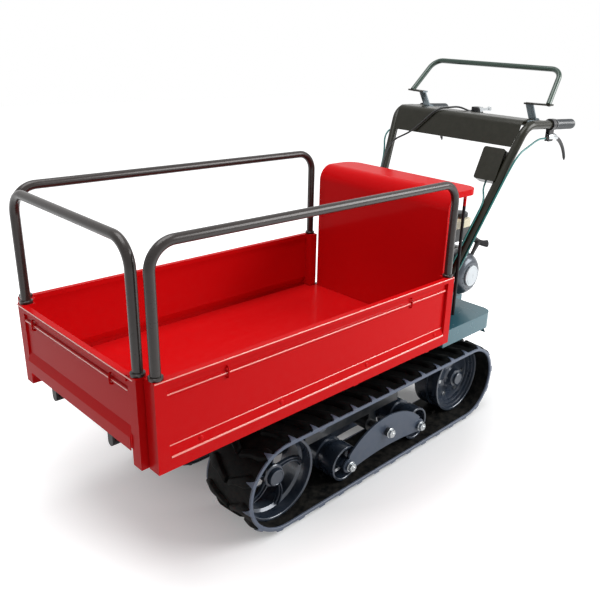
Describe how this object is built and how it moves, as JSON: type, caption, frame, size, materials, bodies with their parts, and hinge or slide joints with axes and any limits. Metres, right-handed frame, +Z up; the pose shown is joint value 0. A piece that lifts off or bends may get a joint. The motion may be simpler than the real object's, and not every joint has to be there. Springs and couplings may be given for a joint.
{
  "type": "power wheelbarrow",
  "caption": "Tracked walk-behind power carrier with a sliding-side bed, plug-in guard rails, a small engine under a bent cover and a steering handle with a travel loop.",
  "frame": {"origin": "on the ground, under the middle of the overall length and width", "axes": "+X forward from the handle to the front gate, +Y to the machine's left, +Z up"},
  "size_m": [1.655, 0.6, 1.121],
  "materials": {
    "red_paint": "gloss",
    "rail_paint": "satin",
    "black_rod": "satin",
    "track_rubber": "matt",
    "wheel_paint": "satin",
    "frame_paint": "satin",
    "bogie_paint": "satin",
    "base_paint": "satin",
    "case_metal": "cast",
    "engine_black": "satin",
    "cast_alloy": "cast",
    "starter_grey": "satin",
    "disc_white": "satin",
    "black_plastic": "matt",
    "tank_plastic": "translucent",
    "zinc": "zinc plated",
    "handle_paint": "satin",
    "loop_paint": "satin",
    "grip_rubber": "matt",
    "cable_black": "satin",
    "cable_teal": "satin"
  },
  "bodies": {
    "chassis": {"air_cleaner": "black_plastic", "bed_floor": "red_paint", "belt_guard": "engine_black", "blower_housing": "engine_black", "carburettor": "cast_alloy", "chassis_frame": "frame_paint", "clutch_cables": "cable_teal", "console_panel": "handle_paint", "control_box": "handle_paint", "cover_stays": "red_paint", "cross_bar": "handle_paint", "cylinder": "engine_black", "drive_belt": "track_rubber", "engine_base": "base_paint", "engine_block": "engine_black", "engine_cover": "red_paint", "fuel_tank": "tank_plastic", "grips": "grip_rubber", "handle_tubes": "handle_paint", "left_track_belt": "track_rubber", "lever_clamps": "black_plastic", "muffler": "engine_black", "recoil_disc": "disc_white", "recoil_housing": "starter_grey", "right_track_belt": "track_rubber", "slide_sleeves": "frame_paint", "spark_plug_cap": "black_plastic", "throttle_cable": "cable_black", "throttle_clamp": "black_plastic", "track_frames": "frame_paint", "transmission_case": "case_metal", "travel_cable": "cable_teal"},
    "left_gate": {"left_side_panel": "red_paint"},
    "right_gate": {"right_side_panel": "red_paint"},
    "front_gate": {"front_panel": "red_paint", "front_slide_rods": "black_rod"},
    "left_rail": {"left_guard_rail": "rail_paint"},
    "right_rail": {"right_guard_rail": "rail_paint"},
    "front_rail": {"front_guard_rail": "rail_paint"},
    "left_idler": {"left_idler_wheel": "wheel_paint"},
    "right_idler": {"right_idler_wheel": "wheel_paint"},
    "left_sprocket": {"left_drive_sprocket": "wheel_paint"},
    "right_sprocket": {"right_drive_sprocket": "wheel_paint"},
    "left_rocker": {"left_bogie": "bogie_paint"},
    "right_rocker": {"right_bogie": "bogie_paint"},
    "left_roller_front": {"left_front_roller": "wheel_paint"},
    "right_roller_front": {"right_front_roller": "wheel_paint"},
    "left_roller_rear": {"left_rear_roller": "wheel_paint"},
    "right_roller_rear": {"right_rear_roller": "wheel_paint"},
    "left_carrier": {"left_carrier_roller": "wheel_paint"},
    "right_carrier": {"right_carrier_roller": "wheel_paint"},
    "travel_loop": {"loop_bar": "loop_paint", "loop_brackets": "handle_paint"},
    "left_lever": {"left_clutch_lever": "zinc"},
    "right_lever": {"right_clutch_lever": "zinc"},
    "throttle": {"throttle_lever": "zinc"},
    "starter": {"starter_grip": "black_plastic"},
    "filler_cap": {"fuel_cap": "black_plastic"},
    "crank_pulley": {"engine_pulley": "zinc"},
    "input_pulley": {"gearbox_pulley": "zinc"}
  },
  "joints": [
    {"name": "left_gate_slide", "type": "slide", "parent": "chassis", "child": "left_gate", "axis": [0, 1, 0], "range_m": [0, 0.15]},
    {"name": "left_rail_lift", "type": "slide", "parent": "left_gate", "child": "left_rail", "axis": [0, 0, 1], "range_m": [0, 0.3]},
    {"name": "right_gate_slide", "type": "slide", "parent": "chassis", "child": "right_gate", "axis": [0, -1, 0], "range_m": [0, 0.15]},
    {"name": "right_rail_lift", "type": "slide", "parent": "right_gate", "child": "right_rail", "axis": [0, 0, 1], "range_m": [0, 0.3]},
    {"name": "front_gate_slide", "type": "slide", "parent": "chassis", "child": "front_gate", "axis": [1, 0, 0], "range_m": [0, 0.15]},
    {"name": "front_rail_lift", "type": "slide", "parent": "front_gate", "child": "front_rail", "axis": [0, 0, 1], "range_m": [0, 0.3]},
    {"name": "left_sprocket_turn", "type": "hinge", "parent": "chassis", "child": "left_sprocket", "pos_m": [-0.3545, 0.1925, 0.132], "axis": [0, 1, 0], "continuous": true},
    {"name": "left_idler_turn", "type": "hinge", "parent": "chassis", "child": "left_idler", "pos_m": [0.4415, 0.1925, 0.132], "axis": [0, 1, 0], "continuous": true},
    {"name": "left_rocker_swing", "type": "hinge", "parent": "chassis", "child": "left_rocker", "pos_m": [0.047, 0.1925, 0.115], "axis": [0, 1, 0], "range_deg": [-4, 4], "deforming": ["left_track_belt"]},
    {"name": "left_front_roller_turn", "type": "hinge", "parent": "left_rocker", "child": "left_roller_front", "pos_m": [0.2035, 0.1925, 0.0703], "axis": [0, 1, 0], "continuous": true},
    {"name": "left_rear_roller_turn", "type": "hinge", "parent": "left_rocker", "child": "left_roller_rear", "pos_m": [-0.1095, 0.1925, 0.0703], "axis": [0, 1, 0], "continuous": true},
    {"name": "left_carrier_turn", "type": "hinge", "parent": "chassis", "child": "left_carrier", "pos_m": [0.2875, 0.2213, 0.2237], "axis": [0, 1, 0], "continuous": true},
    {"name": "right_sprocket_turn", "type": "hinge", "parent": "chassis", "child": "right_sprocket", "pos_m": [-0.3545, -0.1925, 0.132], "axis": [0, 1, 0], "continuous": true},
    {"name": "right_idler_turn", "type": "hinge", "parent": "chassis", "child": "right_idler", "pos_m": [0.4415, -0.1925, 0.132], "axis": [0, 1, 0], "continuous": true},
    {"name": "right_rocker_swing", "type": "hinge", "parent": "chassis", "child": "right_rocker", "pos_m": [0.047, -0.1925, 0.115], "axis": [0, 1, 0], "range_deg": [-4, 4], "deforming": ["right_track_belt"]},
    {"name": "right_front_roller_turn", "type": "hinge", "parent": "right_rocker", "child": "right_roller_front", "pos_m": [0.2035, -0.1925, 0.0703], "axis": [0, 1, 0], "continuous": true},
    {"name": "right_rear_roller_turn", "type": "hinge", "parent": "right_rocker", "child": "right_roller_rear", "pos_m": [-0.1095, -0.1925, 0.0703], "axis": [0, 1, 0], "continuous": true},
    {"name": "right_carrier_turn", "type": "hinge", "parent": "chassis", "child": "right_carrier", "pos_m": [0.2875, -0.2213, 0.2237], "axis": [0, 1, 0], "continuous": true},
    {"name": "travel_loop_swing", "type": "hinge", "parent": "chassis", "child": "travel_loop", "pos_m": [-0.6545, 0, 0.94639], "axis": [0, 1, 0], "range_deg": [0, 18]},
    {"name": "left_lever_squeeze", "type": "hinge", "parent": "chassis", "child": "left_lever", "pos_m": [-0.6875, 0.25758, 0.90336], "axis": [0, 1, 0], "range_deg": [0, 18], "stiffness_Nm_per_rad": 2, "springref_deg": -20.05},
    {"name": "right_lever_squeeze", "type": "hinge", "parent": "chassis", "child": "right_lever", "pos_m": [-0.6875, -0.25758, 0.90336], "axis": [0, 1, 0], "range_deg": [0, 18], "stiffness_Nm_per_rad": 2, "springref_deg": -20.05},
    {"name": "throttle_turn", "type": "hinge", "parent": "chassis", "child": "throttle", "pos_m": [-0.6445, 0.0158, 0.96939], "axis": [0, 1, 0], "range_deg": [-20, 50]},
    {"name": "starter_pull", "type": "slide", "parent": "chassis", "child": "starter", "axis": [-0.6198, 0, 0.7848], "range_m": [0, 0.4], "stiffness_N_per_m": 40, "springref_m": -0.1},
    {"name": "filler_cap_turn", "type": "hinge", "parent": "chassis", "child": "filler_cap", "pos_m": [-0.4125, 0.132, 0.665], "axis": [0, 0, 1], "range_deg": [0, 120]},
    {"name": "input_pulley_turn", "type": "hinge", "parent": "chassis", "child": "input_pulley", "pos_m": [-0.3045, -0.084, 0.236], "axis": [0, 1, 0], "continuous": true},
    {"name": "crank_pulley_turn", "type": "hinge", "parent": "chassis", "child": "crank_pulley", "pos_m": [-0.4025, -0.084, 0.478], "axis": [0, 1, 0], "continuous": true}
  ],
  "couplings": [
    {"joint": "left_idler_turn", "follows": "left_sprocket_turn", "ratio": 1},
    {"joint": "left_front_roller_turn", "follows": "left_sprocket_turn", "ratio": 2.1865},
    {"joint": "left_rear_roller_turn", "follows": "left_sprocket_turn", "ratio": 2.1865},
    {"joint": "left_carrier_turn", "follows": "left_sprocket_turn", "ratio": 5.1682},
    {"joint": "right_idler_turn", "follows": "right_sprocket_turn", "ratio": 1},
    {"joint": "right_front_roller_turn", "follows": "right_sprocket_turn", "ratio": 2.1865},
    {"joint": "right_rear_roller_turn", "follows": "right_sprocket_turn", "ratio": 2.1865},
    {"joint": "right_carrier_turn", "follows": "right_sprocket_turn", "ratio": 5.1682},
    {"joint": "crank_pulley_turn", "follows": "input_pulley_turn", "ratio": 1.7222}
  ]
}
